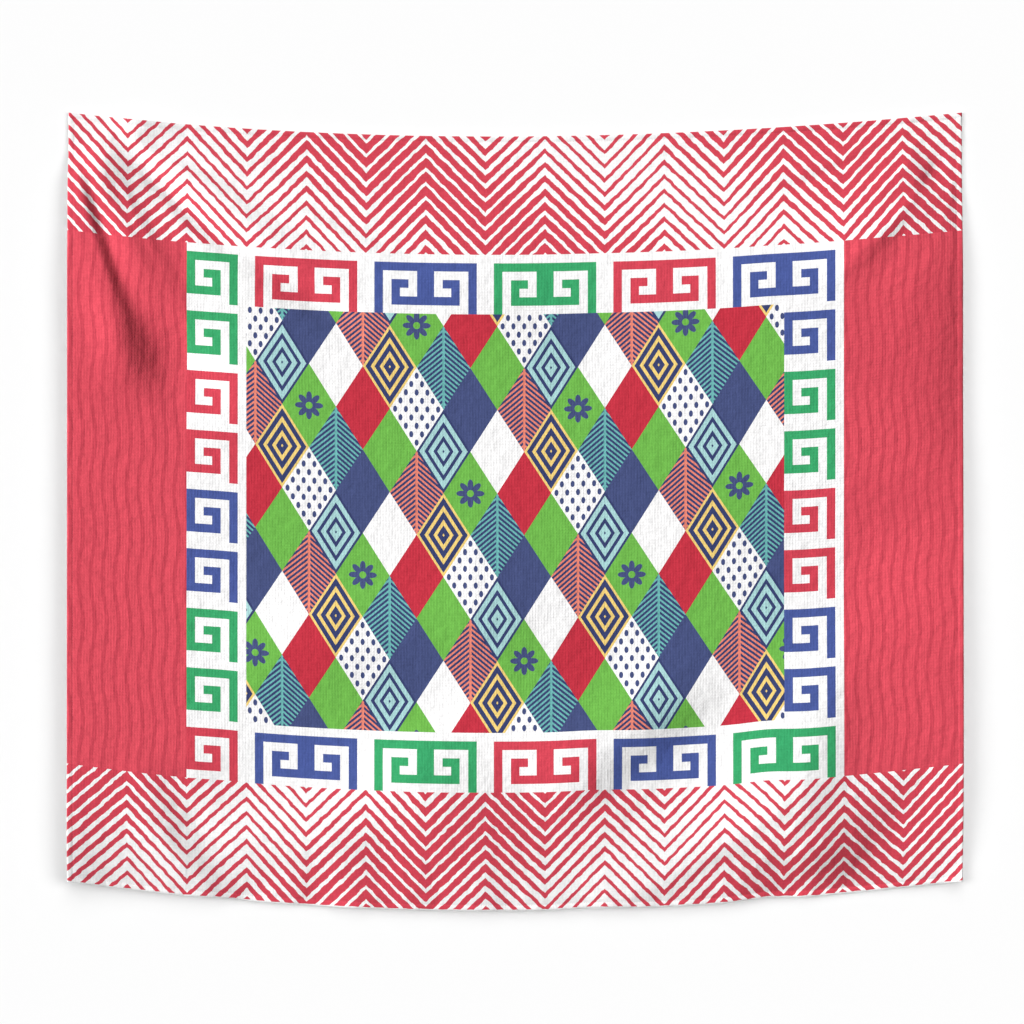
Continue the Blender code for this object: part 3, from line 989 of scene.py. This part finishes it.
def cloth_shader(add, shade, place):
    """Matte woven polyester of this colour: soft fuzz at its edges, and a grain in its dye."""
    mottle, bump = woven(add, place)
    grain = add(RANGE, mottle, *GRAIN_RANGE)
    grained = add(VECTOR, "SCALE", shade, Scale=grain)
    rough = add(RANGE, mottle, *CLOTH_ROUGH_RANGE)
    finish = {"Specular IOR Level": 0.3, "Sheen Weight": 0.08, "Sheen Roughness": 0.5}
    shader = add("ShaderNodeBsdfPrincipled", grained, Roughness=rough, Normal=bump, **finish)
    add("ShaderNodeOutputMaterial", shader)


def printed_front(printed):
    """Plain-woven polyester, dye-printed: matte, with fine grain in the colours."""
    material, add = start_material("printed woven polyester")
    place = add("ShaderNodeUVMap", uv_map="cloth")
    shade = add(GROUP, printed, place)
    cloth_shader(add, shade, place)
    return material


def plain_back(look, printed):
    """The unprinted back of the same cloth, where the print shows through faintly."""
    material, add = start_material("unprinted woven polyester")
    place = add("ShaderNodeUVMap", uv_map="cloth")
    shade = add(GROUP, printed, place)
    shade = add(MIX, "RGBA", look.show_through, look.white, shade)
    cloth_shader(add, shade, place)
    return material


# The thread's plies turn once in 0.7 mm, in a wave of this scale and distortion.
PLY_WAVE = (450.0, 0.5)
# The thread's dye is scaled from this share in the grooves between the plies to this share on their
# crowns: painted shade and painted highlight that follow the twist's bump.
PLY_PAINTED_SHADE_RANGE = (0.0, 1.0, 0.82, 1.08)
PLY_ROUGH_RANGE = (0.0, 1.0, 0.75, 0.60)


def sewing_thread(stitch):
    """Spun polyester sewing thread in a soft twist, with painted shade in the grooves between its plies
    and a painted highlight on their crowns.
    """
    material, add = start_material("spun polyester thread")
    place = add("ShaderNodeTexCoord").outputs["Object"]
    twist = add(WAVE, "DIAGONAL", place, *PLY_WAVE).outputs["Fac"]
    # Painted shade and highlight: the dye is darker where the twist's bump is low and lighter where it
    # is high.
    shade = add(RANGE, twist, *PLY_PAINTED_SHADE_RANGE)
    shade = add(VECTOR, "SCALE", stitch.dye[:3], Scale=shade)
    rough = add(RANGE, twist, *PLY_ROUGH_RANGE)
    bump = add("ShaderNodeBump", Strength=0.5, Distance=0.0001, Height=twist)
    shader = add("ShaderNodeBsdfPrincipled", shade, Roughness=rough, Normal=bump)
    add("ShaderNodeOutputMaterial", shader)
    return material


def one_sided_wall():
    """White wall paint, seen and lit only from the front, so that the cloth's back shows too."""
    material, add = start_material("white wall paint")
    paint = add("ShaderNodeBsdfDiffuse", linear("#F1F1F1"))
    clear = add("ShaderNodeBsdfTransparent")
    facing = add("ShaderNodeNewGeometry").outputs["Backfacing"]
    mixed = add("ShaderNodeMixShader", facing, paint, clear)
    add("ShaderNodeOutputMaterial", mixed)
    return material


# The floor's mottle is soft, in cells of a third of a metre.
FLOOR_NOISE = (3.0, 3.0)
FLOOR_RANGE = (0.3, 0.7, 0.78, 0.82)


def pale_floor():
    """Pale matte floor paint with a faint mottle."""
    material, add = start_material("pale floor paint")
    place = add("ShaderNodeTexCoord").outputs["Object"]
    mottle = add(NOISE, "3D", place, *FLOOR_NOISE)
    shade = add(RANGE, mottle, *FLOOR_RANGE)
    paint = add("ShaderNodeBsdfDiffuse", shade)
    add("ShaderNodeOutputMaterial", paint)
    return material


# Stage


def stage_plane(name, place, turn, material):
    """A flat part of the stage, with its place in its mesh."""
    bpy.ops.object.select_all(action="DESELECT")
    bpy.ops.mesh.primitive_plane_add(size=STAGE_SIZE, location=place, rotation=turn)
    plane = bpy.context.object
    bpy.ops.object.transform_apply(location=True, rotation=True, scale=True)
    plane.name = name
    plane.data.name = name
    plane.data.materials.append(material)
    return plane


def shine(lamp, energy, *things):
    """Add a soft lamp far away, which lights these things alone, or everything if none is given."""
    turn = Vector(lamp.direction).to_track_quat("-Z", "Y").to_euler()
    bpy.ops.object.light_add(type="SUN", rotation=turn)
    light = bpy.context.object
    light.name = lamp.name
    light.data.energy = energy
    light.data.angle = lamp.softness
    if things:
        lit = bpy.data.collections.new(f"lit by the {lamp.name}")
        for thing in things:
            lit.objects.link(thing)
        light.light_linking.receiver_collection = lit


# Operators


class TAPESTRY_OT_hang_cloth(bpy.types.Operator):
    """Make the printed cloth with its folds and turned hem, and the stitches that hold the hem"""

    bl_idname = "tapestry.hang_cloth"
    bl_label = "Hang cloth"

    def execute(self, context):
        panel = context.scene.tapestry_panel
        look = context.scene.tapestry_print
        printed = tapestry_print(look, panel)
        cloth, paths = weave_sheet(panel, printed_front(printed), plain_back(look, printed))
        stitches = sew(context.scene.tapestry_stitch, paths)
        stitches.data.materials.append(sewing_thread(context.scene.tapestry_stitch))
        for piece in (cloth, stitches):
            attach(piece, "root")
        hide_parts("cloth")
        return {"FINISHED"}


class TAPESTRY_OT_set_stage(bpy.types.Operator):
    """Make the wall, the floor, the lamps and the camera"""

    bl_idname = "tapestry.set_stage"
    bl_label = "Set stage"

    def execute(self, context):
        look = context.scene.tapestry_stage
        upright = (math.pi / 2, 0.0, 0.0)
        wall_place = (0.0, look.wall_gap, WALL_MIDDLE)
        floor_place = (0.0, 0.0, look.floor_height)
        wall = stage_plane("wall", wall_place, upright, one_sided_wall())
        for ray in ("diffuse", "glossy", "transmission", "shadow"):
            setattr(wall, f"visible_{ray}", False)
        floor = stage_plane("floor", floor_place, (0.0, 0.0, 0.0), pale_floor())
        floor.visible_shadow = False
        floor.visible_diffuse = False
        cloth = bpy.data.objects["tapestry_cloth"]
        stitches = bpy.data.objects["hem_stitches"]
        shine(KEY_LAMP, look.key, cloth, stitches, floor)
        for lamp in WALL_LAMPS:
            shine(lamp, look.wash, wall)
        shine(BACK_LAMP, look.back)
        world = bpy.data.worlds.new("even fill")
        world.use_nodes = True
        background = world.node_tree.nodes["Background"]
        background.inputs["Strength"].default_value = look.fill
        background.inputs["Color"].default_value = linear("#FFFFFF")
        context.scene.world = world
        eye = (look.aim_x, -look.distance, look.aim_z)
        bpy.ops.object.camera_add(location=eye, rotation=upright)
        camera = bpy.context.object
        camera.data.sensor_width = 36.0
        camera.data.lens = camera.data.sensor_width * look.distance / look.frame_width
        context.scene.camera = camera
        context.scene.view_settings.view_transform = "Standard"
        return {"FINISHED"}


class TAPESTRY_PT_tapestry(bpy.types.Panel):
    """Lists the tapestry's pieces, with their sizes and colours"""

    bl_idname = "TAPESTRY_PT_tapestry"
    bl_label = "Wall tapestry"
    bl_space_type = "VIEW_3D"
    bl_region_type = "UI"
    bl_category = "Tapestry"

    def draw(self, context):
        for operator in OPERATORS:
            self.layout.operator(operator.bl_idname)
        for attribute, group in PROPERTY_GROUPS.items():
            box = self.layout.box()
            for name in group.__annotations__:
                box.prop(getattr(context.scene, attribute), name)


OPERATORS = (TAPESTRY_OT_hang_cloth, TAPESTRY_OT_set_stage)
CLASSES = tuple(PROPERTY_GROUPS.values()) + OPERATORS + (TAPESTRY_PT_tapestry,)


def register():
    for item in CLASSES:
        bpy.utils.register_class(item)
    for attribute, group in PROPERTY_GROUPS.items():
        setattr(bpy.types.Scene, attribute, bpy.props.PointerProperty(type=group))


def unregister():
    for attribute in PROPERTY_GROUPS:
        delattr(bpy.types.Scene, attribute)
    for item in reversed(CLASSES):
        bpy.utils.unregister_class(item)


def main():
    register()
    bpy.ops.tapestry.hang_cloth()
    bpy.ops.tapestry.set_stage()


if __name__ == "__main__":
    main()
